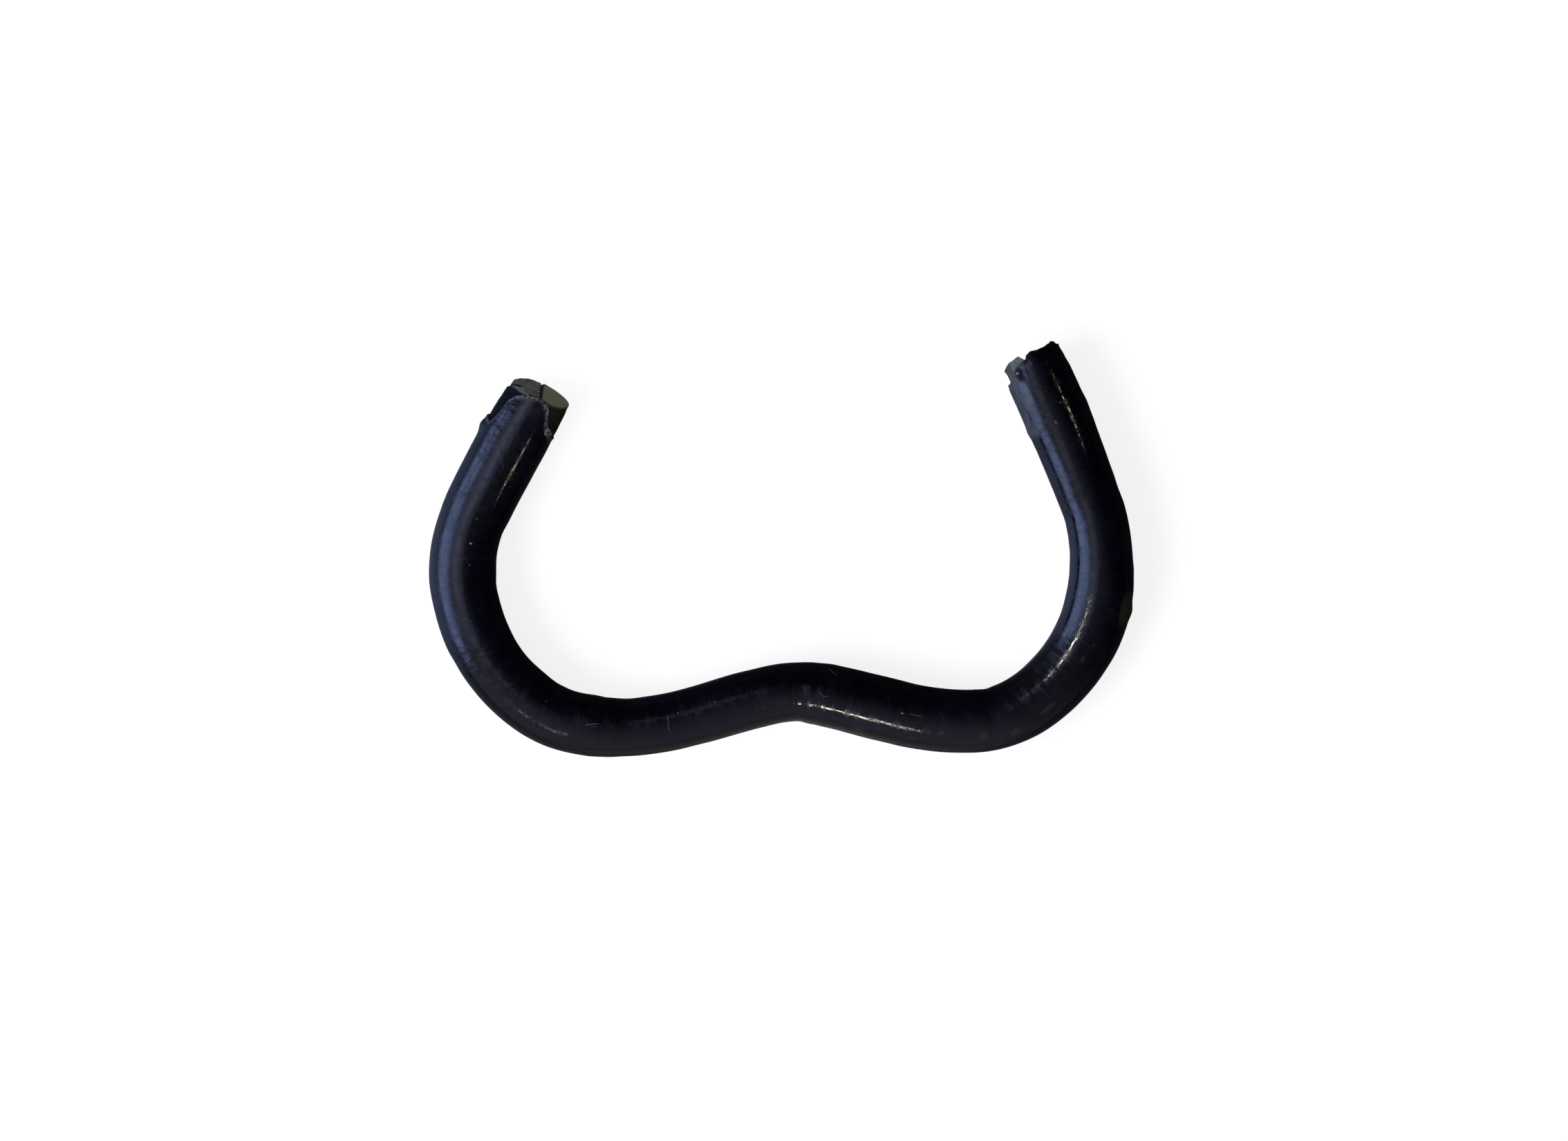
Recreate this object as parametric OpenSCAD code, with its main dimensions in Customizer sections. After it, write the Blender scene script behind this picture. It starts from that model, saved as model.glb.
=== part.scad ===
// Fence hog ring, open as it goes into the pliers: one length of round steel wire in a bonded
// vinyl coat, bent flat to a D with a dip at the crown, its two legs leaning in towards each other.
// The origin is the middle of the wire at the top of the crown. X runs along the ring's width,
// Y from the crown out through the mouth, and Z up through the thickness as the ring lies flat.
// Each side is a bend schedule that starts at the crown and ends at the sheared tip.

/* [Wire] */
// Diameter of the steel wire, nine gauge
core_d = 3.76; // [3.2:0.02:4.2]
// Thickness of the vinyl coat
coat_t = 0.2; // [0.1:0.05:0.4]

/* [Crown] */
// Radius of the crown bend, along the middle of the wire
crown_r = 8.9; // [7:0.1:12]

/* [Left side] */
// Angle that the crown turns down by, to the left
left_fall = 15.5; // [10:0.5:20]
// Length of the straight slope below the crown
left_slope = 5.5; // [3:0.1:8]
// Radius of the shallow trough at the lowest stretch
left_trough_r = 15; // [12:0.1:20]
// Angle above level at which the trough ends
left_rise = 10.5; // [0:0.5:15]
// Radius of the hip, the first and tightest stretch of the corner
left_hip_r = 7.9; // [6:0.1:10]
// Angle that the hip turns
left_hip = 27.5; // [20:0.5:35]
// Radius of the flank, the middle stretch of the corner
left_flank_r = 11.3; // [9:0.1:13]
// Angle that the flank turns
left_flank = 44; // [35:0.5:55]
// Radius of the neck, where the corner runs into the leg
left_neck_r = 9; // [8:0.1:14]
// Angle that the neck turns
left_neck = 33.5; // [20:0.5:40]
// Length of the leg, from the neck to the middle of the sheared tip
left_leg = 9; // [6:0.1:12]
// Radius of the leg's slight bow
left_leg_r = 75; // [60:5:200]

/* [Right side] */
// Angle that the crown turns down by, to the right
right_fall = 14; // [10:0.5:20]
// Length of the straight slope below the crown
right_slope = 4.7; // [3:0.1:8]
// Radius of the shallow trough at the lowest stretch
right_trough_r = 18; // [12:0.1:24]
// Angle above level at which the trough ends
right_rise = 1; // [0:0.5:15]
// Radius of the hip, the first and tightest stretch of the corner
right_hip_r = 7.3; // [6:0.1:10]
// Angle that the hip turns
right_hip = 32; // [20:0.5:40]
// Radius of the flank, the middle stretch of the corner
right_flank_r = 10.7; // [9:0.1:13]
// Angle that the flank turns
right_flank = 56.5; // [40:0.5:65]
// Radius of the neck, where the corner runs into the leg
right_neck_r = 12.9; // [8:0.1:15]
// Angle that the neck turns
right_neck = 21; // [15:0.5:35]
// Length of the leg, from the neck to the middle of the sheared tip
right_leg = 10.4; // [6:0.1:13]
// Radius of the leg's slight bow
right_leg_r = 130; // [60:5:200]

/* [Sheared tips] */
// Lean of the left cut: its face looks up by this angle
left_lean = 16.5; // [0:0.5:25]
// Skew of the left cut's smooth inner half, which leaves the inner edge longer
left_skew = 3; // [0:0.5:8]
// Skew of the left cut's broken outer half
left_break_skew = 12; // [8.5:0.5:20]
// Lean of the right cut: its face looks down by this angle
right_lean = 8; // [0:0.5:25]
// Skew of the right cut, which leaves the outer edge longer
right_skew = 6.5; // [0:0.5:15]
// Place of the crest that stands across the right cut, towards the inside of the ring
right_crest = 0.8; // [0.4:0.05:1.2]
// Depth to which the steel broke away behind that crest, on the outer side
right_step = 0.35; // [0.1:0.05:0.6]
// Overhang of the coat past the steel at the right tip
right_lip = 0.12; // [0:0.02:0.3]

/* [Torn coat] */
// Length of bare wire behind the left tip, on the inner flank
left_bare_inner = 2.25; // [1.5:0.05:3]
// Length of chipped coat behind the left tip, on the outer flank
left_bare_outer = 3; // [2:0.05:4]
// Length of bare wire behind the right tip, on the inner flank
right_bare_inner = 1.3; // [0.8:0.05:2.5]

/* [Hidden] */
$fn = 96;

coat_d = core_d + 2 * coat_t;
coat_r = coat_d / 2;

// Each stretch runs on into the next by the lap, and every second one is slimmer by the hair,
// so that the skins of two stretches meet across an edge and never lie in each other.
lap = 0.05;
hair = 0.02;
// The wire is bent with spare length past each tip, which the shears take off.
spare = coat_d;
reach = 3 * coat_d;

function arc_degrees(length, r) = length / r * 180 / PI;

// A bend schedule holds [radius, turn in degrees] for a bend and [0, length] for a straight.
left_bends = [
    [0, left_slope],
    [left_trough_r, left_fall + left_rise],
    [left_hip_r, left_hip],
    [left_flank_r, left_flank],
    [left_neck_r, left_neck],
    [left_leg_r, arc_degrees(left_leg, left_leg_r)]
];
right_bends = [
    [0, right_slope],
    [right_trough_r, right_fall + right_rise],
    [right_hip_r, right_hip],
    [right_flank_r, right_flank],
    [right_neck_r, right_neck],
    [right_leg_r, arc_degrees(right_leg, right_leg_r)]
];

// Torn edges of the coat, seen from above and from below. A point is [distance behind the tip,
// place across the wire as a share of the coat's radius, from -1 outside to 1 inside].
left_tear_above = [
    [left_bare_outer, -0.95], [left_bare_outer * 1.06, -0.9], [0.75, -0.5], [0, -0.3], [0, 0.3],
    [0.25, 0.42], [0.7, 0.56], [1.3, 0.6], [left_bare_inner * 0.8, 0.85], [left_bare_inner, 0.95]
];
left_tear_below = [
    [left_bare_outer, -0.95], [1.9, -0.8], [1.2, -0.35], [0.5, -0.1], [0.9, 0.3], [1.6, 0.7],
    [left_bare_inner, 0.95]
];
right_tear_above = [
    [0, -1], [0, 0.1], [0.35, 0.22], [0.4, 0.5], [0.75, 0.75], [right_bare_inner, 0.95]
];
right_tear_below = [
    [0, -1], [0.3, -0.4], [0.1, 0], [0.6, 0.35], [right_bare_inner, 0.95]
];

// One stretch of wire along X from the origin, turning to the left if it bends.
module stretch(step, d, run_on) {
    if (step[0] > 0)
        translate([0, step[0], 0])
            rotate([0, 0, -90])
                rotate_extrude(angle = step[1] + arc_degrees(run_on, step[0]))
                    translate([step[0], 0])
                        circle(d = d);
    else
        rotate([0, 90, 0])
            cylinder(d = d, h = step[1] + run_on);
}

// Carries its children to the end of one stretch.
module past(step) {
    if (step[0] > 0)
        translate([0, step[0], 0])
            rotate([0, 0, step[1]])
                translate([0, -step[0], 0])
                    children();
    else
        translate([step[1], 0, 0])
            children();
}

// Carries its children to the tip, with X out along the wire and Y towards the inside of the ring.
module past_all(steps, i = 0) {
    if (i < len(steps))
        past(steps[i]) past_all(steps, i + 1) children();
    else
        children();
}

// The stretches of one side, each starting where the last one ends.
module side(steps, d, i = 0) {
    last = i == len(steps) - 1;
    stretch(steps[i], i % 2 == 0 ? d - hair : d, last ? spare : lap);
    if (!last)
        past(steps[i]) side(steps, d, i + 1);
}

module crown(d) {
    over = arc_degrees(lap, crown_r);
    translate([0, -crown_r, 0])
        rotate([0, 0, 90 - right_fall - over])
            rotate_extrude(angle = left_fall + right_fall + 2 * over)
                translate([crown_r, 0])
                    circle(d = d);
}

// Carries its children from the origin to the end of the crown bend on the right.
module off_crown(fall) {
    translate([0, -crown_r, 0])
        rotate([0, 0, -fall])
            translate([0, crown_r, 0])
                children();
}

module on_left() {
    mirror([1, 0, 0]) off_crown(left_fall) children();
}

module on_right() {
    off_crown(right_fall) children();
}

// The whole bent rod, before its tips are sheared.
module bent(d) {
    crown(d);
    on_left() side(left_bends, d);
    on_right() side(right_bends, d);
}

// What one shear stroke takes off, in the tip's own frame.
module shear(lean, skew) {
    rotate([0, -lean, skew])
        translate([0, -reach / 2, -reach / 2])
            cube(reach);
}

module left_shears() {
    on_left() past_all(left_bends) {
        shear(left_lean, -left_skew);
        shear(left_lean, -left_break_skew);
    }
}

module right_shears(lip) {
    on_right() past_all(right_bends)
        translate([lip, 0, 0])
            shear(-right_lean, right_skew);
}

// What broke off the outer part of the right cut, up to a slanting wall below the crest.
module right_break() {
    on_right() past_all(right_bends)
        rotate([0, right_lean, right_skew])
            linear_extrude(reach, center = true)
                polygon([
                    [-right_step, -reach],
                    [-right_step, right_crest - right_step],
                    [right_step, right_crest + right_step],
                    [right_step, -reach]
                ]);
}

// Takes off the coat beyond a torn edge, over half of the wire's thickness.
module tear(edge) {
    points = [for (p = edge) [-p[0], p[1] * coat_r]];
    first = points[0];
    last = points[len(points) - 1];
    translate([0, 0, -hair])
        linear_extrude(reach)
            polygon(concat(
                [[first[0], -reach]], points, [[last[0], reach], [reach, reach], [reach, -reach]]
            ));
}

module left_tear() {
    on_left() past_all(left_bends) {
        tear(left_tear_above);
        mirror([0, 0, 1]) tear(left_tear_below);
    }
}

module right_tear() {
    on_right() past_all(right_bends) {
        tear(right_tear_above);
        mirror([0, 0, 1]) tear(right_tear_below);
    }
}

module wire() {
    color("dimgray")
        difference() {
            bent(core_d);
            left_shears();
            right_shears(0);
            right_break();
        }
}

module coating() {
    color("midnightblue")
        difference() {
            bent(coat_d);
            bent(core_d);
            left_shears();
            right_shears(right_lip);
            left_tear();
            right_tear();
        }
}

wire();
coating();
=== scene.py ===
"""Looks of an open fence hog ring: steel wire in a glossy navy vinyl coat, torn at its sheared tips.

The wire and its coat are modelled straight, as they are drawn, and then bent along the ring's
schedule. Sizes are in millimetres until a piece is finished. S runs along the middle of the wire from
the crown, negative to the left; Y points to the inside of the ring and Z up through its thickness.
Angles round the wire start at the inside of the ring and pass over its top.
"""

from __future__ import annotations

import logging
import math
from dataclasses import dataclass, field
from enum import Enum
from typing import Callable, Iterable, Sequence

import bmesh
import bpy
from mathutils import Matrix, Vector, noise

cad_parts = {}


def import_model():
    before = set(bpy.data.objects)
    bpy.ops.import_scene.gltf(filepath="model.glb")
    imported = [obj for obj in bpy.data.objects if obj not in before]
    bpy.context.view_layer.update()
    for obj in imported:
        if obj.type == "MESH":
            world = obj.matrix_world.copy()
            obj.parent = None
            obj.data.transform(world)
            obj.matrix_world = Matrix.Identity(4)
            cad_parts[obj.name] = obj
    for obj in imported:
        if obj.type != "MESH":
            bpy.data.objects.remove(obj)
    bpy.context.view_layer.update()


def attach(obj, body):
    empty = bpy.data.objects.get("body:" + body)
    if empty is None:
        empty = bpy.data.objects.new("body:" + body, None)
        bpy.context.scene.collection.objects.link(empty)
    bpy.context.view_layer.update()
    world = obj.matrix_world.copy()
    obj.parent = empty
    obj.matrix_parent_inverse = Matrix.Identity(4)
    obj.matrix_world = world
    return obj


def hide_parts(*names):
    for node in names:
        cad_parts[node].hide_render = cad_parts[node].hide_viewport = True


LOG = logging.getLogger("hog_ring")
MM = 0.001
DRAWN = "drawn"
TORN = "torn"

Marks = tuple[tuple[float, float], ...]


class End(Enum):
    """The two sheared tips of the ring."""

    LEFT = -1
    RIGHT = 1


def smooth(value: float) -> float:
    """Eases a share from 0 to 1.

    Args:
        value: Any number; it is clamped to 0..1 first.

    Returns:
        The eased share.
    """
    value = min(1.0, max(0.0, value))
    return value * value * (3.0 - 2.0 * value)


def between(value: float, marks: Sequence[tuple[float, float]]) -> float:
    """Reads a value off marks, each (place, value), eased from one to the next.

    Args:
        value: The place to read at.
        marks: The marks, by rising place.

    Returns:
        The value there; past the ends it is the end's own.
    """
    if value <= marks[0][0]:
        return marks[0][1]
    for (low, first), (high, second) in zip(marks, marks[1:]):
        if value <= high:
            return first + (second - first) * smooth((value - low) / (high - low))
    return marks[-1][1]


def grain(s: float, angle: float, along: float, around: float, seed: float = 0.0) -> float:
    """Seeded noise on the wire's skin that closes on itself round the wire.

    Args:
        s: Place along the wire.
        angle: Angle round the wire, in degrees.
        along: Waves for each millimetre along the wire.
        around: Waves for each radian round the wire.
        seed: Picks another pattern.

    Returns:
        A value from about -1 to 1.
    """
    turn = math.radians(angle)
    return noise.noise(Vector((s * along + seed, math.cos(turn) * around, math.sin(turn) * around + seed)))


@dataclass(frozen=True)
class Stretch:
    """A straight or a bend of one radius along the middle of the wire."""

    length: float
    radius: float = 0.0
    sense: int = 1

    def travel(self, distance: float) -> tuple[Vector, float]:
        """Walks along the stretch from its start, heading along X.

        Args:
            distance: How far to walk, in millimetres.

        Returns:
            The place reached and the heading there, in radians.
        """
        if not self.radius:
            return Vector((distance, 0.0)), 0.0
        turn = distance / self.radius
        place = Vector((math.sin(turn) * self.radius, self.sense * (1.0 - math.cos(turn)) * self.radius))
        return place, self.sense * turn


@dataclass(frozen=True)
class BendSchedule:
    """The bends of one side, from the crown out to the tip: radii, lengths in millimetres, degrees."""

    fall: float
    slope: float
    trough_r: float
    rise: float
    hip_r: float
    hip: float
    flank_r: float
    flank: float
    neck_r: float
    neck: float
    leg: float
    leg_r: float

    def stretches(self, crown_r: float) -> list[Stretch]:
        """Lists the stretches in order.

        Args:
            crown_r: Radius of the crown bend.

        Returns:
            The crown's share of this side first, then each stretch out to the tip.
        """
        bends = [
            (self.trough_r, self.fall + self.rise),
            (self.hip_r, self.hip),
            (self.flank_r, self.flank),
            (self.neck_r, self.neck),
        ]
        return [
            Stretch(crown_r * math.radians(self.fall), crown_r, -1),
            Stretch(self.slope),
            *(Stretch(radius * math.radians(turn), radius) for radius, turn in bends),
            Stretch(self.leg, self.leg_r),
        ]


@dataclass
class Centreline:
    """The middle of the bent wire."""

    crown_r: float = 8.9
    left: BendSchedule = BendSchedule(15.5, 5.5, 15, 10.5, 7.9, 27.5, 11.3, 44, 9, 33.5, 9, 75)
    right: BendSchedule = BendSchedule(14, 4.7, 18, 1, 7.3, 32, 10.7, 56.5, 12.9, 21, 10.4, 130)

    def __post_init__(self) -> None:
        """Walks both sides once, so that a place along the wire is quick to find."""
        self.walks = {End.LEFT: self._walk(self.left), End.RIGHT: self._walk(self.right)}

    def _walk(self, side: BendSchedule) -> list[tuple[float, Stretch, Vector, float]]:
        """Finds where each stretch of a side starts.

        Args:
            side: The side's bend schedule.

        Returns:
            For each stretch, the length before it, the stretch, its start and its heading there.
        """
        walk = []
        before, place, heading = 0.0, Vector((0.0, 0.0)), 0.0
        for stretch in side.stretches(self.crown_r):
            walk.append((before, stretch, place, heading))
            step, turn = stretch.travel(stretch.length)
            place = place + Matrix.Rotation(heading, 2) @ step
            heading += turn
            before += stretch.length
        return walk

    def length(self, end: End) -> float:
        """Length of the wire from the crown to a tip."""
        before, stretch, _, _ = self.walks[end][-1]
        return before + stretch.length

    def at(self, s: float) -> tuple[Vector, Vector]:
        """Finds a place along the wire.

        Args:
            s: Distance from the crown, negative to the left.

        Returns:
            The middle of the wire there, and the direction to the inside of the ring.
        """
        end = End.LEFT if s < 0 else End.RIGHT
        distance = abs(s)
        before, stretch, start, heading = next(w for w in reversed(self.walks[end]) if w[0] <= distance)
        step, turn = stretch.travel(distance - before)
        place = start + Matrix.Rotation(heading, 2) @ step
        inward = Matrix.Rotation(heading + turn, 2) @ Vector((0.0, 1.0))
        return Vector((place.x * end.value, place.y)), Vector((inward.x * end.value, inward.y))

    def bend(self, drawn: Vector) -> Vector:
        """Bends one point of the straight wire into its place on the ring.

        Args:
            drawn: The point on the straight wire: S, Y and Z.

        Returns:
            The point on the ring.
        """
        middle, inward = self.at(drawn.x)
        flat = middle + inward * drawn.y
        return Vector((flat.x, flat.y, drawn.z))


@dataclass(frozen=True)
class Girth:
    """Size over the coat, which bending left uneven: marks of distance from the crown and half width."""

    left_inner: Marks = (
        (0, 1.97), (2, 1.94), (4, 1.99), (7, 1.92), (10, 1.96), (11.5, 1.91), (13, 1.97), (14, 2.04),
        (16, 2.02), (17, 2.04), (19, 2.1), (21, 2.06), (22, 2.08), (24, 2.15), (26, 2.17), (27, 2.15),
        (28.5, 2.21), (30, 2.17), (31.5, 2.17), (33, 2.23), (36, 2.27), (39.5, 2.27),
    )
    left_outer: Marks = (
        (0, 1.93), (2, 1.95), (4, 1.92), (6, 1.94), (8, 1.9), (10, 1.88), (11.5, 1.91), (13, 1.99),
        (14, 2.04), (18, 2.08), (20, 2.1), (23, 2.13), (24, 2.19), (26, 2.19), (28, 2.25), (30, 2.23),
        (31.5, 2.21), (33, 2.29), (37, 2.31), (39, 2.31), (41, 2.25),
    )
    right_inner: Marks = (
        (0, 1.98), (1, 2.02), (2, 2.1), (4, 2.13), (6, 2.15), (8, 2.12), (12, 2.1), (13, 2.04),
        (14, 2.1), (16, 2.12), (18, 2.17), (20, 2.19), (22, 2.21), (24, 2.23), (25, 2.21), (26, 2.17),
        (28, 2.1), (29, 2.06), (30, 2.03), (31, 2.05), (32, 2.07), (33, 2.09), (35, 2.12), (36, 2.15),
        (36.5, 2.22), (37.3, 2.18), (39.5, 2.19), (40.3, 2.08), (41.2, 1.99),
    )
    right_outer: Marks = (
        (0, 1.93), (1, 2.06), (2, 2.1), (3, 2.08), (5, 2.12), (9, 2.1), (12, 2.08), (14, 2.08),
        (16, 2.12), (18, 2.12), (20, 2.15), (22, 2.21), (23.2, 2.21), (23.9, 2.31), (24.6, 2.17), (26, 2.1),
        (27, 2.04), (28, 2.04), (30, 2.06), (31, 2.02), (32, 2.06), (34, 2.12), (35, 2.15), (36, 2.21),
        (37, 2.25), (38, 2.19), (39.5, 2.17), (40.3, 2.11), (41.2, 2.03),
    )
    thickness: float = 4.16

    def at(self, s: float, angle: float) -> tuple[float, float]:
        """Half sizes of the wire over its coat.

        Args:
            s: Place along the wire.
            angle: Angle round the wire, in degrees.

        Returns:
            Half of the width on that side, in the plane of the ring, and half of the thickness across it.
        """
        marks = (self.left_inner, self.left_outer) if s < 0 else (self.right_inner, self.right_outer)
        inner, outer = (between(abs(s), side) for side in marks)
        half = inner if math.cos(math.radians(angle)) > 0 else outer
        return half, min((inner + outer) / 2, self.thickness / 2)


@dataclass(frozen=True)
class EdgeLine:
    """A line round the wire near a tip: marks of angle and place past the tip, negative behind it."""

    marks: tuple[tuple[float, float], ...]
    ragged: float = 0.0
    seed: float = 0.0

    def at(self, angle: float) -> float:
        """Reads the line at an angle round the wire.

        Args:
            angle: The angle, in degrees from -180 to 180.

        Returns:
            The place past the tip.
        """
        value = self.marks[-1][1]
        for (low, first), (high, second) in zip(self.marks, self.marks[1:]):
            if low <= angle <= high:
                value = first + (second - first) * (angle - low) / (high - low)
                break
        coarse = grain(0, angle, 1, 3.2, self.seed)
        fine = grain(0, angle, 1, 11, self.seed + 4)
        return value + self.ragged * (coarse + 0.6 * fine)


@dataclass(frozen=True)
class Dent:
    """A rounded dent or bump in the skin: place, angle, half length, half width in degrees, height."""

    s: float
    angle: float
    length: float
    width: float
    height: float
    hollow: float = 0.0

    def lift(self, s: float, angle: float) -> float:
        """How far the skin is lifted at a point.

        Args:
            s: Place along the wire.
            angle: Angle round the wire.

        Returns:
            The lift in millimetres, below zero in a dent.
        """
        off = (angle - self.angle + 180) % 360 - 180
        reach = math.hypot((s - self.s) / self.length, off / self.width)
        if reach > 3:
            return 0.0
        if self.hollow:
            return self.height * math.exp(-(((reach - 1) / self.hollow) ** 2))
        return self.height * math.exp(-(reach**2))


@dataclass(frozen=True)
class Row:
    """One ring of points of a piece, drawn on the straight wire.

    Body runs from the knot to the tear, wall down the torn edge, film on to the end. A row with no
    end lies square across the wire at a plain place.
    """

    end: End | None
    place: float = 0.0
    body: float = 1.0
    wall: float = 0.0
    film: float = 0.0
    share: float = 1.0
    inside: bool = False


def roll_tube(bm: bmesh.types.BMesh, sides: int, rows: int, close: bool) -> None:
    """Rolls a sheet into a tube along X, with one ring of points at each whole number from 0.

    Args:
        bm: The empty mesh to fill.
        sides: Points round the tube.
        rows: Rings along it.
        close: Whether the last ring joins on to the first; otherwise each end ring shrinks to a point.
    """
    bmesh.ops.create_grid(bm, x_segments=rows - 1, y_segments=sides, size=0.5)
    bmesh.ops.translate(bm, verts=bm.verts, vec=(0.5, 0.0, 0.0))
    for point in bm.verts:
        turn = math.tau * point.co.y
        point.co = (round(point.co.x * (rows - 1)), math.cos(turn), math.sin(turn))
    bmesh.ops.remove_doubles(bm, verts=bm.verts, dist=0.001)
    if close:
        bmesh.ops.bridge_loops(bm, edges=[edge for edge in bm.edges if edge.is_boundary])
        return
    for place in (0, rows - 1):
        ring = [point for point in bm.verts if round(point.co.x) == place]
        bmesh.ops.pointmerge(bm, verts=ring, merge_co=(place, 0.0, 0.0))


def finish_piece(
    bm: bmesh.types.BMesh, name: str, line: Centreline, sharp: float
) -> bpy.types.Object:
    """Bends a drawn mesh along the ring and makes it an object at the origin.

    Args:
        bm: The mesh, on the straight wire in millimetres. It is freed.
        name: Name of the piece.
        line: The line to bend it along.
        sharp: Angle past which an edge stays sharp, in degrees.

    Returns:
        The finished object, in metres.
    """
    drawn = bm.verts.layers.float_vector.new(DRAWN)
    for point in bm.verts:
        point[drawn] = point.co
        point.co = line.bend(point.co)
    bmesh.ops.recalc_face_normals(bm, faces=bm.faces)
    bmesh.ops.scale(bm, verts=bm.verts, vec=(MM, MM, MM))
    for face in bm.faces:
        face.smooth = True
    mesh = bpy.data.meshes.new(name)
    bm.to_mesh(mesh)
    bm.free()
    mesh.set_sharp_from_angle(angle=math.radians(sharp))
    piece = bpy.data.objects.new(name, mesh)
    bpy.context.scene.collection.objects.link(piece)
    LOG.info("%s: %d points, %d faces", name, len(mesh.vertices), len(mesh.polygons))
    return piece


@dataclass
class Coat:
    """The bonded vinyl coat: its skin, the torn edges at both tips and the bore that the wire fills."""

    line: Centreline
    girth: Girth
    thickness: float = 0.2
    films: dict[End, float] = field(default_factory=lambda: {End.LEFT: 0.12, End.RIGHT: 0.045})
    wall: float = 0.07
    sides: int = 160
    pitch: float = 0.22
    bore_pitch: float = 1.2
    knot: float = 4.6
    tears: dict[End, EdgeLine] = field(default_factory=lambda: {
        End.LEFT: EdgeLine((
            (-180, -3.02), (-162, -3.0), (-143, -1.9), (-110, -1.2), (-96, -0.5), (-72, -0.9),
            (-46, -1.6), (-18, -2.1), (0, -2.2), (23, -2.25), (38, -1.9), (52, -1.5), (57, -1.25),
            (61, -0.75), (68, -0.44), (84, -0.41), (90, -0.46), (103, -0.6), (112, -0.8),
            (120, -0.95), (129, -1.3), (133, -1.5), (136, -2.3), (140, -3.0), (147, -3.4),
            (156, -3.3), (166, -3.05), (180, -3.02),
        ), 0.1, 1.5),
        End.RIGHT: EdgeLine((
            (-180, -0.2), (-114, -0.5), (-90, -0.4), (-70, -0.7), (-18, -1.35), (0, -1.33),
            (18, -1.3), (32, -1.0), (41, -0.75), (50, -0.55), (60, -0.42), (72, -0.36), (77, -0.3),
            (81, -0.08), (94, 0.06), (105, -0.04), (128, -0.03), (145, 0.03), (151, 0.11),
            (158, -0.1), (166, -0.22), (180, -0.2),
        ), 0.035, 7.5),
    })
    ends: dict[End, EdgeLine] = field(default_factory=lambda: {
        End.LEFT: EdgeLine((
            (-180, -1.0), (-172, -1.6), (-165, -9), (108, -9), (112, -0.72), (147, -0.72),
            (166, -0.78), (180, -1.0),
        ), 0.04, 3.5),
        End.RIGHT: EdgeLine(((-180, -9), (180, -9))),
    })
    marks: tuple[Dent, ...] = (
        Dent(-37.75, 180, 0.45, 24, 0.18),
        Dent(-39.4, 37, 0.2, 5.5, 0.14, 0.45),
        Dent(-39.2, 0, 0.8, 55, -0.07),
        Dent(40.05, 52, 0.5, 9, -0.11),
    )

    def rows(self) -> list[Row]:
        """Lists the rings: the skin from the left tip to the right one, and back through the bore."""
        skin = [0.0, 0.08, *(0.16 + 0.84 * (1 - (1 - i / 44) ** 1.5) for i in range(1, 45))]
        edge = [(0.35, 0), (0.7, 0), (1, 0), *((1, i / 9) for i in range(1, 10))]
        tip = [Row(End.RIGHT, body=share) for share in skin]
        tip += [Row(End.RIGHT, wall=wall, film=film) for wall, film in edge]
        left = [Row(End.LEFT, body=r.body, wall=r.wall, film=r.film) for r in reversed(tip)]
        low, high = (e.value * (self.line.length(e) - self.knot) for e in (End.LEFT, End.RIGHT))
        count = round((high - low) / self.pitch)
        middle = [Row(None, low + (high - low) * i / count) for i in range(1, count)]
        count = round((high - low) / self.bore_pitch)
        bore = [Row(None, high + (low - high) * i / count, inside=True) for i in range(count + 1)]
        ends = [Row(e, wall=1, film=1, inside=True) for e in (End.RIGHT, End.LEFT)]
        return left + middle + tip + ends[:1] + bore + ends[1:]

    def drawn(self, row: Row, angle: float) -> Vector:
        """Places a point of the coat on the straight wire.

        Args:
            row: The ring that the point belongs to.
            angle: Its angle round the wire.

        Returns:
            The point: S, Y and Z.
        """
        s, torn = row.place, 0.0
        if row.end:
            tip = self.line.length(row.end)
            knot = tip - self.knot
            tear = self.tears[row.end].at(angle)
            past = max(self.ends[row.end].at(angle) - tear - self.wall, 0.02)
            s = knot + row.body * (tip + tear - knot) + row.wall * self.wall + row.film * past
            s *= row.end.value
            torn = smooth(row.wall)
        half, rise = self.girth.at(s, angle)
        lift = -self.thickness
        if not row.inside:
            film = self.films[row.end] if row.end else 0.0
            lift = torn * (film - self.thickness)
            worn = sum(mark.lift(s, angle) for mark in self.marks) + 0.012 * grain(s, angle, 0.7, 0.8)
            lift += (1 - torn) * worn
            lift += torn * 0.02 * grain(s, angle, 6, 9, 2)
            if row.end:
                lip = math.exp(-((tip + tear - abs(s)) / 0.12) ** 2) * (1 - torn)
                lift += lip * 0.045 * (0.4 + grain(s, angle, 0.5, 6, 5))
            lift = max(lift, 0.04 - self.thickness)
        turn = math.radians(angle)
        return Vector((s, (half + lift) * math.cos(turn), (rise + lift) * math.sin(turn)))

    def torn(self, row: Row, angle: float) -> Vector:
        """Tells the finish how a point of the coat is torn.

        Args:
            row: The ring that the point belongs to.
            angle: Its angle round the wire.

        Returns:
            1 past the torn edge and 0 before it, then the distance behind that edge.
        """
        if not row.end:
            return Vector((0.0, 9.0, 0.0))
        behind = (1 - row.body) * (self.knot + self.tears[row.end].at(angle))
        return Vector((row.wall, behind, 0.0))

    def build(self) -> bpy.types.Object:
        """Makes the coat.

        Returns:
            The finished piece.
        """
        rows = self.rows()
        bm = bmesh.new()
        roll_tube(bm, self.sides, len(rows), close=True)
        torn = bm.verts.layers.float_vector.new(TORN)
        for point in bm.verts:
            row = rows[round(point.co.x)]
            angle = math.degrees(math.atan2(point.co.z, point.co.y))
            point[torn] = self.torn(row, angle)
            point.co = self.drawn(row, angle)
        return finish_piece(bm, "vinyl_coating", self.line, 50)


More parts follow.
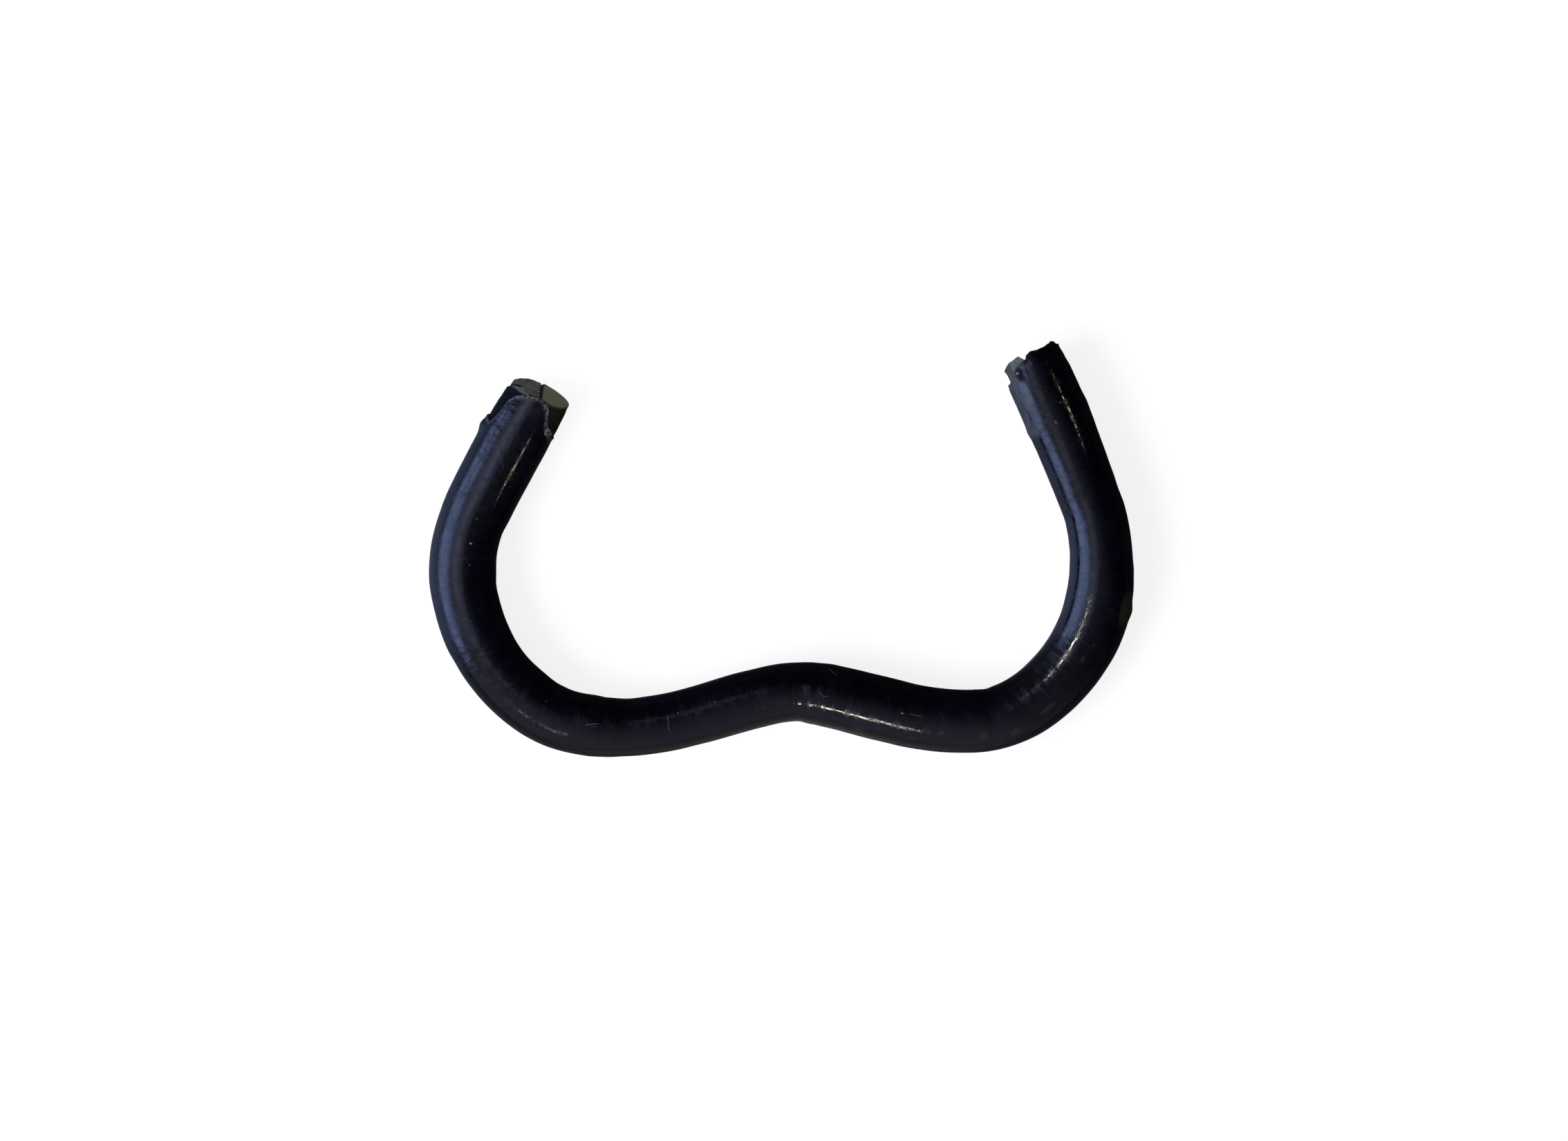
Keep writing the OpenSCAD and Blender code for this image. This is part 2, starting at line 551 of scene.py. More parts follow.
@dataclass
class SteelWire:
    """The steel inside: a drawn rod with a two-part break at the left tip and a crushed right tip."""

    line: Centreline
    girth: Girth
    coat: float = 0.206
    sides: int = 160
    pitch: float = 0.9
    knot: float = 4.0
    face_rows: int = 30
    lean: float = 0.296
    crack_depth: float = 0.16
    crack_width: float = 0.06
    marks: tuple[Dent, ...] = (
        Dent(-39.6, 0, 0.8, 55, 0.09),
        Dent(-41.6, 0, 0.5, 60, -0.1),
        Dent(41.25, 5, 0.5, 50, 0.22),
    )

    def face(self, end: End, y: float, z: float) -> float:
        """Shape of an end face.

        Args:
            end: Which tip.
            y: Place towards the inside of the ring.
            z: Height.

        Returns:
            How far the face stands past the tip.
        """
        rough = noise.fractal(Vector((y * 2.2, z * 2.2, 3.0)), 0.9, 2.2, 5)
        if end is End.LEFT:
            crack = y + 0.055 - 0.165 * z + 0.05 * noise.noise(Vector((z * 3, 7.0, 0.0)))
            broken = smooth(0.5 - crack / 0.12)
            place = 0.07 + 0.06 * y - self.lean * z
            place -= broken * (0.085 * max(0.0, -y - 0.6) ** 2 + 0.05 - 0.05 * rough)
            place -= self.crack_depth * math.exp(-((crack / self.crack_width) ** 2))
            chip = math.hypot((y + 1.62) / 0.32, (z - 0.55) / 0.3)
            place -= 0.28 * math.exp(-(chip**2))
            return place + 0.006 * rough
        crest = between(y, ((-2.2, -0.38), (0.2, -0.36), (0.42, -0.2), (0.8, 0.2), (1.3, 0.08), (1.96, -0.3)))
        top = math.sqrt(max(0.0, 1.96**2 - y * y))
        return crest - (top - z) * 0.14 + 0.03 * rough

    def rows(self) -> list[Row]:
        """Lists the rings: the left face from its middle out, the rod, and the right face."""
        tip = [Row(End.RIGHT, body=1 - ((44 - i) / 44) ** 1.4) for i in range(44)]
        tip += [Row(End.RIGHT, wall=-0.075), Row(End.RIGHT, wall=-0.035, share=0.994)]
        tip += [Row(End.RIGHT, share=0.978 * (1 - i / self.face_rows)) for i in range(self.face_rows + 1)]
        left = [Row(End.LEFT, body=r.body, wall=r.wall, share=r.share) for r in reversed(tip)]
        low, high = (e.value * (self.line.length(e) - self.knot) for e in (End.LEFT, End.RIGHT))
        count = round((high - low) / self.pitch)
        middle = [Row(None, low + (high - low) * i / count) for i in range(1, count)]
        return left + middle + tip

    def drawn(self, row: Row, angle: float) -> Vector:
        """Places a point of the wire on the straight wire.

        Args:
            row: The ring that the point belongs to.
            angle: Its angle round the wire.

        Returns:
            The point: S, Y and Z.
        """
        turn = math.radians(angle)
        s = row.place
        if row.end:
            tip = self.line.length(row.end)
            half, rise = (size - self.coat for size in self.girth.at(tip * row.end.value, angle))
            face = self.face(row.end, half * row.share * math.cos(turn), rise * row.share * math.sin(turn))
            knot = tip - self.knot
            s = (knot + row.body * (tip + face - knot) + row.wall) * row.end.value
        half, rise = (size - self.coat for size in self.girth.at(s, angle))
        skin = sum(mark.lift(s, angle) for mark in self.marks)
        if row.end and row.share == 1:
            skin += 0.006 * grain(s, angle, 2.5, 5, 6)
        half, rise = (half + skin) * row.share, (rise + skin) * row.share
        return Vector((s, half * math.cos(turn), rise * math.sin(turn)))

    def build(self) -> bpy.types.Object:
        """Makes the wire.

        Returns:
            The finished piece.
        """
        rows = self.rows()
        bm = bmesh.new()
        roll_tube(bm, self.sides, len(rows), close=False)
        for point in bm.verts:
            angle = math.degrees(math.atan2(point.co.z, point.co.y))
            point.co = self.drawn(rows[round(point.co.x)], angle)
        return finish_piece(bm, "bent_wire", self.line, 40)


class Signal:
    """A socket of a node tree, on which Python's own operators add Math nodes."""

    def __init__(self, graph: Graph, socket: bpy.types.NodeSocket) -> None:
        """Wraps a socket.

        Args:
            graph: The graph that the socket is in.
            socket: An output socket.
        """
        self.graph = graph
        self.socket = socket

    def _math(self, operation: str, *values: Signal | float) -> Signal:
        """Adds a Math node.

        Args:
            operation: The node's operation.
            values: Its inputs, in order.

        Returns:
            The node's value.
        """
        return self.graph.add("ShaderNodeMath", {"operation": operation}, dict(enumerate(values)))

    def __add__(self, other: Signal | float) -> Signal:
        """Sum."""
        return self._math("ADD", self, other)

    __radd__ = __add__

    def __sub__(self, other: Signal | float) -> Signal:
        """Difference."""
        return self._math("SUBTRACT", self, other)

    def __rsub__(self, other: float) -> Signal:
        """Difference, taken from a number."""
        return self._math("SUBTRACT", other, self)

    def __mul__(self, other: Signal | float) -> Signal:
        """Product."""
        return self._math("MULTIPLY", self, other)

    __rmul__ = __mul__

    def __truediv__(self, other: Signal | float) -> Signal:
        """Quotient."""
        return self._math("DIVIDE", self, other)

    def __pow__(self, other: float) -> Signal:
        """Power."""
        return self._math("POWER", self, other)

    def __abs__(self) -> Signal:
        """Size without its sign."""
        return self._math("ABSOLUTE", self)

    def most(self, other: Signal | float) -> Signal:
        """The larger of two values."""
        return self._math("MAXIMUM", self, other)

    def least(self, other: Signal | float) -> Signal:
        """The smaller of two values."""
        return self._math("MINIMUM", self, other)

    def arctan(self, other: Signal) -> Signal:
        """Angle, in radians, whose tangent is this value over another."""
        return self._math("ARCTAN2", self, other)

    def rise(self, low: float, high: float) -> Signal:
        """Eases from 0 at one value to 1 at another, which may be the lower one.

        Args:
            low: Where the result is 0.
            high: Where it is 1.

        Returns:
            The eased share.
        """
        return self.graph.add(
            "ShaderNodeMapRange",
            {"interpolation_type": "SMOOTHSTEP", "clamp": True},
            {"Value": self, "From Min": low, "From Max": high},
        )

    def inside(self, low: float, high: float, soft: float) -> Signal:
        """Is 1 between two values and fades past them.

        Args:
            low: The lower value.
            high: The upper value.
            soft: Length of each fade.

        Returns:
            The mask.
        """
        return self.rise(low - soft, low) * self.rise(high + soft, high)


Colour = tuple[float, float, float, float]


class Graph:
    """The node tree of one material or world."""

    def __init__(self, tree: bpy.types.NodeTree) -> None:
        """Empties a tree.

        Args:
            tree: The tree to fill.
        """
        self.tree = tree
        tree.nodes.clear()

    def add(
        self,
        kind: str,
        settings: dict[str, object] | None = None,
        sockets: dict[str | int, object] | None = None,
        output: str | int = 0,
    ) -> Signal:
        """Adds a node.

        Args:
            kind: The node's type.
            settings: Its own settings, set first.
            sockets: Values or signals for its inputs, by name or number.
            output: The output to return.

        Returns:
            That output; a node without outputs returns its first input.
        """
        node = self.tree.nodes.new(kind)
        for name, value in (settings or {}).items():
            setattr(node, name, value)
        for name, value in (sockets or {}).items():
            if isinstance(value, Signal):
                self.tree.links.new(value.socket, node.inputs[name])
            else:
                node.inputs[name].default_value = value
        return Signal(self, node.outputs[output] if node.outputs else node.inputs[0])

    def split(self, vector: Signal) -> tuple[Signal, Signal, Signal]:
        """Splits a vector.

        Args:
            vector: The vector.

        Returns:
            Its X, Y and Z.
        """
        x = self.add("ShaderNodeSeparateXYZ", {}, {0: vector})
        node = x.socket.node
        return x, Signal(self, node.outputs[1]), Signal(self, node.outputs[2])

    def stretch(self, vector: Signal, scale: tuple[float, float, float]) -> Signal:
        """Scales a vector, by Vector Math."""
        return self.add("ShaderNodeVectorMath", {"operation": "MULTIPLY"}, {0: vector, 1: scale})

    def cloud(self, vector: Signal, scale: float, detail: float = 2.0, roughness: float = 0.5) -> Signal:
        """Soft noise.

        Args:
            vector: Where to read it.
            scale: Waves for each unit.
            detail: Octaves.
            roughness: Weight of the finer octaves.

        Returns:
            The noise, about 0.5 in the middle.
        """
        sockets = {"Vector": vector, "Scale": scale, "Detail": detail, "Roughness": roughness}
        return self.add("ShaderNodeTexNoise", {}, sockets)

    def mix(self, share: Signal, first: Signal | Colour, second: Signal | Colour) -> Signal:
        """Mixes two colours.

        Args:
            share: Share of the second.
            first: The colour at 0.
            second: The colour at 1.

        Returns:
            The colour.
        """
        settings = {"data_type": "RGBA"}
        return self.add("ShaderNodeMix", settings, {0: share, 6: first, 7: second}, output=2)

    def glow(self, under: Signal, share: Signal, colour: Colour) -> Signal:
        """Adds a share of a colour to another, past white where it must.

        Args:
            under: The colour to add to.
            share: How much to add.
            colour: The colour added.

        Returns:
            The sum.
        """
        settings = {"data_type": "RGBA", "blend_type": "ADD"}
        return self.add("ShaderNodeMix", settings, {0: share, 6: under, 7: colour}, output=2)

    def bump(self, height: Signal, distance: float, normal: Signal | None = None) -> Signal:
        """Turns a height into a normal.

        Args:
            height: The height, where 1 stands for the distance.
            distance: Height of the relief, in metres.
            normal: Another bump's normal to build on.

        Returns:
            The normal.
        """
        sockets: dict[str | int, object] = {"Height": height, "Distance": distance, "Strength": 1.0}
        if normal:
            sockets["Normal"] = normal
        return self.add("ShaderNodeBump", {}, sockets)

    def surface(self, shader: Signal) -> None:
        """Sends a shader to the output of a material or a world."""
        world = isinstance(self.tree.id_data, bpy.types.World)
        kind = "ShaderNodeOutputWorld" if world else "ShaderNodeOutputMaterial"
        self.add(kind, {}, {"Surface": shader})


def new_material(name: str) -> tuple[bpy.types.Material, Graph]:
    """Makes an empty material.

    Args:
        name: Its name.

    Returns:
        The material and its graph.
    """
    material = bpy.data.materials.new(name)
    material.use_nodes = True
    return material, Graph(material.node_tree)


@dataclass(frozen=True)
class Spot:
    """A small round mark on the upper skin: place, distance inwards, half sizes, strength."""

    s: float
    y: float
    length: float
    width: float
    strength: float = 1.0


@dataclass(frozen=True)
class Scratch:
    """A hair-thin mark on the upper skin, between two points of S and Y."""

    start: tuple[float, float]
    stop: tuple[float, float]
    width: float
    strength: float = 1.0


@dataclass(frozen=True)
class VinylFinish:
    """Glossy navy vinyl with orange peel, scuffs, specks and a scraped grey strip, with a painted highlight
    ring on the torn curl and painted shade in the pits at the right tip.
    """

    navy: Colour = (0.0024, 0.0022, 0.0062, 1)
    deep: Colour = (0.0008, 0.0007, 0.0022, 1)
    # Dust of the specks, scratches and burr; also the colour of the painted highlight ring on the curl.
    dust_and_highlight: Colour = (0.16, 0.165, 0.18, 1)
    scraped: Colour = (0.05, 0.055, 0.072, 1)
    brown: Colour = (0.02, 0.017, 0.008, 1)
    cut: Colour = (0.0006, 0.0007, 0.004, 1)
    specks: tuple[Spot, ...] = (
        Spot(-30.32, 0.4, 0.06, 0.09),
        Spot(-28.82, 0.5, 0.05, 0.04, 0.5),
        Spot(-32.05, 0.3, 0.05, 0.05, 0.4),
        Spot(-17.4, 0.67, 0.06, 0.04, 0.3),
        Spot(-8.05, 0.5, 0.05, 0.05, 0.35),
        Spot(-5.5, 0.55, 0.07, 0.06, 0.2),
        Spot(7.0, 0.06, 0.11, 0.06, 0.5),
        Spot(7.9, 0.12, 0.5, 0.03, 0.18),
        Spot(40.5, 1.28, 0.08, 0.09, 0.9),
        Spot(36.5, 0.28, 0.12, 0.07, 0.35),
        Spot(37.6, -0.5, 0.08, 0.05, 0.25),
    )
    # Brownish marks, most on the outer side of the right hip and corner.
    brown_marks: tuple[Spot, ...] = (
        Spot(12.3, -1.0, 0.26, 0.22, 0.8),
        Spot(14.2, -1.24, 0.3, 0.18, 0.7),
        Spot(16.5, -0.94, 0.62, 0.14, 0.7),
        Spot(20.15, -0.5, 0.22, 0.12, 0.6),
        Spot(21.3, -0.62, 0.16, 0.1, 0.4),
        Spot(4.5, -1.7, 0.3, 0.2, 0.4),
        Spot(7.9, -1.5, 0.3, 0.15, 0.3),
        Spot(23.95, -1.85, 0.95, 0.42, 1.0),
        Spot(31.3, 1.35, 0.2, 0.12, 0.3),
    )
    # Pits at the right tip, kept dark as painted shade: the scraped grey is left out there.
    pits: tuple[Spot, ...] = (Spot(40.35, 1.15, 0.5, 0.26), Spot(39.75, 0.95, 0.5, 0.13, 0.8))
    # Where a ring of painted highlight is drawn round the curl of torn vinyl at the left tear.
    curl_highlight: Spot = Spot(-39.45, 1.68, 0.26, 0.16)
    scratches: tuple[Scratch, ...] = (
        Scratch((-8.77, 0.5), (-8.87, -0.46), 0.03, 0.45),
        Scratch((1.7, 1.76), (2.2, 1.45), 0.03, 0.4),
        Scratch((1.42, 0.12), (1.68, -0.12), 0.03, 0.35),
        Scratch((1.68, -0.12), (1.95, -0.02), 0.03, 0.3),
        Scratch((-37.02, -0.83), (-35.86, 0.38), 0.02, 0.3),
        Scratch((-38.1, -0.15), (-37.0, -0.05), 0.02, 0.2),
        Scratch((-14.25, 0.02), (-13.95, 0.12), 0.035, 0.45),
        Scratch((-13.95, 0.12), (-13.5, 0.2), 0.035, 0.5),
        Scratch((-14.0, -0.05), (-13.6, 0.0), 0.025, 0.35),
    )

    def _spots(self, spots: Iterable[Spot], s: Signal, y: Signal, edge: float) -> Signal:
        """Mask of round marks.

        Args:
            spots: The marks.
            s: Place along the wire.
            y: Distance inwards.
            edge: How far each one fades past its size.

        Returns:
            The mask.
        """
        mask: Signal | None = None
        for spot in spots:
            reach = abs((s - spot.s) / spot.length) ** 2.0 + abs((y - spot.y) / spot.width) ** 2.0
            found = reach.rise(1.0 + edge, 1.0 - edge) * spot.strength
            mask = found if mask is None else mask.most(found)
        return mask

    def _marks(self, s: Signal, y: Signal, z: Signal) -> Signal:
        """Mask of the specks and scratches.

        Args:
            s: Place along the wire.
            y: Distance inwards.
            z: Height.

        Returns:
            The mask.
        """
        mask = self._spots(self.specks, s, y, 0.6)
        for scratch in self.scratches:
            run = Vector(scratch.stop) - Vector(scratch.start)
            way = run.normalized()
            off_s, off_y = s - scratch.start[0], y - scratch.start[1]
            along = off_s * way.x + off_y * way.y
            across = off_y * way.x - off_s * way.y
            found = along.inside(0, run.length, 0.05) * across.inside(0, 0, scratch.width)
            mask = mask.most(found * scratch.strength)
        return mask * z.rise(0, 0.2)

    def build(self) -> bpy.types.Material:
        """Makes the material.

        Returns:
            The vinyl.
        """
        material, graph = new_material("navy_vinyl")
        drawn = graph.add("ShaderNodeAttribute", {"attribute_name": DRAWN}, output="Vector")
        s, y, z = graph.split(drawn)
        torn = graph.add("ShaderNodeAttribute", {"attribute_name": TORN}, output="Vector")
        cut, behind, _ = graph.split(torn)
        blotch = graph.cloud(graph.stretch(drawn, (0.35, 0.8, 0.8)), 1.0, 3.0)
        peel = graph.cloud(graph.stretch(drawn, (1.8, 0.9, 0.9)), 1.0, 2.0, 0.5)
        beads = graph.cloud(graph.stretch(drawn, (2.4, 0.9, 0.9)), 1.0, 3.0, 0.6)
        fine = graph.cloud(graph.stretch(drawn, (3.6, 2.2, 2.2)), 1.0, 2.0, 0.5)
        lines = graph.cloud(graph.stretch(drawn, (0.5, 6.0, 6.0)), 1.0, 3.0, 0.55)
        pits = graph.cloud(drawn, 9.0, 3.0, 0.6)
        streaks = graph.cloud(graph.stretch(drawn, (0.9, 5.0, 5.0)), 1.0, 4.0, 0.6)

        strip = s.inside(36.4, 43.0, 0.6) * (y + (s - 38.5) * 0.15 + 0.5 * (streaks - 0.5)).rise(0.95, 1.3)
        strip = strip * (0.4 + 0.6 * streaks.rise(0.42, 0.58)) * z.rise(-1.2, -0.4)
        brown_mark = self._spots(self.brown_marks, s + 0.5 * (pits - 0.5), y + 0.4 * (peel - 0.5), 0.75)
        brown_mark = brown_mark * z.rise(-0.6, 0.2)
        marks = self._marks(s, y, z)
        burr_and_highlight = (behind - 0.25 * y.rise(0.4, 1.0)).rise(0.34, 0.05) * pits.rise(0.42, 0.6)
        burr_and_highlight = burr_and_highlight * s.rise(0, -1) * z.rise(-0.4, 0.3)
        # Painted highlight: a bright ring round the curl, joined to the burr mask and drawn in the dust
        # colour.
        curl_highlight = (((s - self.curl_highlight.s) / self.curl_highlight.length) ** 2.0 + ((y - self.curl_highlight.y) / self.curl_highlight.width) ** 2.0)
        burr_and_highlight = burr_and_highlight.most(curl_highlight.inside(0.55, 1.0, 0.4) * z.rise(0, 0.2) * self.curl_highlight.strength)

        # Painted shade in the pits: this mask keeps the scraped grey out and raises the roughness.
        pit_shade = self._spots(self.pits, s + 0.4 * (pits - 0.5), y + 0.4 * (pits - 0.5), 0.8) * z.rise(0, 0.2)

        colour = graph.mix((0.5 * blotch + 0.5 * pits).rise(0.38, 0.6), self.deep, self.navy)
        colour = graph.mix(brown_mark * 0.9, colour, self.brown)
        # The scraped grey strip, left out in the pits so that they stay dark as painted shade.
        colour = graph.mix(strip * 0.85 * (1.0 - pit_shade), colour, self.scraped)
        # Specks, scratches and burr in dust, and the painted highlight ring on the curl.
        colour = graph.mix((marks + 0.5 * burr_and_highlight).least(1.0), colour, self.dust_and_highlight)
        rough = 0.035 + 0.05 * blotch + 0.05 * pits + 0.2 * beads.rise(0.47, 0.6)
        rough = rough + 0.5 * pit_shade + 0.3 * (strip + brown_mark + marks + burr_and_highlight)

        relief = graph.bump(peel, 0.000018)
        relief = graph.bump(fine + 0.8 * lines, 0.000005, relief)
        relief = graph.bump(pits * 0.4 + 1.5 * streaks * strip, 0.000006, relief)
        gloss = graph.add("ShaderNodeBsdfPrincipled", {}, {
            "Base Color": colour, "Roughness": rough, "Normal": relief, "IOR": 1.5,
        })
        rags = graph.bump(pits + 2.0 * peel, 0.00006)
        matt = graph.add("ShaderNodeBsdfPrincipled", {}, {
            "Base Color": self.cut, "Roughness": 0.4, "Normal": rags, "Specular IOR Level": 0.12,
        })
        graph.surface(graph.add("ShaderNodeMixShader", {}, {0: cut.rise(0.3, 0.7), 1: gloss, 2: matt}))
        return material


@dataclass(frozen=True)
class SteelFinish:
    """Galvanised steel: a dull olive sheared face, a greyer broken half and dark bare flanks, with painted
    shade in the crack and the chip of the left face and painted highlight on the crushed right tip.
    """

    sheared: Colour = (0.115, 0.12, 0.07, 1)
    broken: Colour = (0.15, 0.16, 0.15, 1)
    bright: Colour = (0.25, 0.28, 0.29, 1)
    # Dark of the flank lines and fracture blotches; also the painted shade in the crack and the chip.
    dark: Colour = (0.008, 0.007, 0.006, 1)
    flank: Colour = (0.022, 0.021, 0.013, 1)
    scuffed: Colour = (0.06, 0.062, 0.074, 1)
    # Whitened scuffs and painted highlight on the crushed right tip.
    scuff_and_highlight: Colour = (0.2, 0.2, 0.24, 1)

    def build(self, lengths: dict[End, float]) -> bpy.types.Material:
        """Makes the material.

        Args:
            lengths: Length of the wire from the crown to each tip.

        Returns:
            The steel.
        """
        material, graph = new_material("bare_wire_steel")
        drawn = graph.add("ShaderNodeAttribute", {"attribute_name": DRAWN}, output="Vector")
        s, y, z = graph.split(drawn)
        mottle = graph.cloud(drawn, 2.6, 5.0, 0.62)
        fine = graph.cloud(drawn, 11.0, 3.0, 0.6)
        lines = graph.cloud(graph.stretch(drawn, (0.6, 9.0, 9.0)), 1.0, 3.0, 0.5)

        radius = (y * y + z * z) ** 0.5
        past = 0 - s - lengths[End.LEFT] - 0.06 * y + 0.296 * z
        crack = y + 0.055 - 0.165 * z
        half = crack.rise(0.05, -0.05)
        left_face = (past + 0.38 * half).rise(-0.06, 0.01) * radius.rise(2.045, 2.0)
        # Painted shade: the crack between the two halves of the left face is drawn dark.
        crack_shade = (abs(crack).rise(0.13, 0.03)) * left_face
        right = s.rise(30, 31)

        face = graph.mix(half, self.sheared, self.broken)
        face = graph.mix(half * mottle.rise(0.5, 0.72), face, self.bright)
        face = graph.mix(half * mottle.rise(0.48, 0.34) * 0.8, face, self.dark)
        # Painted shade: the chip hollow in the left face is drawn dark.
        chip = (((y + 1.62) / 0.34) ** 2.0 + ((z - 0.55) / 0.3) ** 2.0).rise(1.3, 0.5)
        face = graph.mix(chip * left_face, face, self.dark)
        flank = graph.mix(lines.rise(0.4, 0.75), self.flank, self.dark)
        # Right tip: scuffs whitened along the drawing lines, then blotches of painted highlight.
        scuffed = graph.mix(lines.rise(0.45, 0.7), self.scuffed, self.scuff_and_highlight)
        flank = graph.mix(right, flank, graph.mix(mottle.rise(0.5, 0.62) * 0.6, scuffed, self.scuff_and_highlight))
        colour = graph.mix(left_face.most(right * 0.5), flank, face)
        # The painted shade of the crack.
        colour = graph.mix(crack_shade, colour, self.dark)
        rough = 0.42 + 0.2 * half + 0.15 * mottle
        relief = graph.bump(mottle * half * 2.0 + fine * 0.5 + lines * 0.4, 0.00002)
        sockets = {
            "Base Color": colour, "Roughness": rough, "Normal": relief, "Metallic": 0.55,
        }
        graph.surface(graph.add("ShaderNodeBsdfPrincipled", {}, sockets))
        return material


@dataclass(frozen=True)
class Softbox:
    """A rectangular lamp: place, size in metres, radiance, aim, and half angle of its beam."""

    name: str
    place: tuple[float, float, float]
    size: tuple[float, float]
    radiance: tuple[float, float, float]
    aim: tuple[float, float, float] = (0.0, 0.008, 0.0)
    beam: float = 90.0
    mirrored: bool = True

    def build(self) -> bpy.types.Object:
        """Hangs the lamp.

        Returns:
            The lamp.
        """
        lamp = bpy.data.lights.new(self.name, "AREA")
        lamp.shape = "RECTANGLE"
        lamp.size, lamp.size_y = self.size
        peak = max(self.radiance)
        lamp.color = tuple(value / peak for value in self.radiance)
        lamp.energy = peak * math.pi * self.size[0] * self.size[1]
        if self.beam < 90.0:
            half = math.radians(self.beam)
            lamp.spread = 2.0 * half
            lamp.energy *= 1.0 - half / math.tan(half)
        hung = bpy.data.objects.new(self.name, lamp)
        hung.location = self.place
        hung.rotation_euler = (Vector(self.aim) - Vector(self.place)).to_track_quat("-Z", "Y").to_euler()
        hung.visible_camera = False
        hung.visible_glossy = self.mirrored
        bpy.context.scene.collection.objects.link(hung)
        return hung


@dataclass(frozen=True)
class Glint:
    """A small lamp close beside the wire, which draws one bright line along it.

    Tilt is how far round the wire the line lies from its top, in degrees towards the inside; size is
    along and across the wire, in metres, and beam the half angle that the lamp lights.
    """

    name: str
    s: float
    tilt: float
    size: tuple[float, float]
    radiance: tuple[float, float, float]
    beam: float
    distance: float = 0.12

    def softbox(self, line: Centreline) -> Softbox:
        """Places the lamp.

        Args:
            line: The middle of the wire.

        Returns:
            The lamp.
        """
        middle, inward = line.at(self.s)
        rise = math.radians(90 - 2 * abs(self.tilt))
        side = inward * math.copysign(math.cos(rise) * self.distance, self.tilt)
        aim = (middle.x * MM, middle.y * MM, 0.0)
        place = (aim[0] + side.x, aim[1] + side.y, math.sin(rise) * self.distance)
        return Softbox(self.name, place, self.size, self.radiance, aim, self.beam)


def towards(azimuth: float, elevation: float, distance: float) -> tuple[float, float, float]:
    """A place seen from the ring.

    Args:
        azimuth: Direction in the plane of the ring, in degrees from X.
        elevation: Angle above the plane.
        distance: How far away, in metres.

    Returns:
        The place.
    """
    flat = math.cos(math.radians(elevation)) * distance
    turn = math.radians(azimuth)
    return flat * math.cos(turn), flat * math.sin(turn), math.sin(math.radians(elevation)) * distance


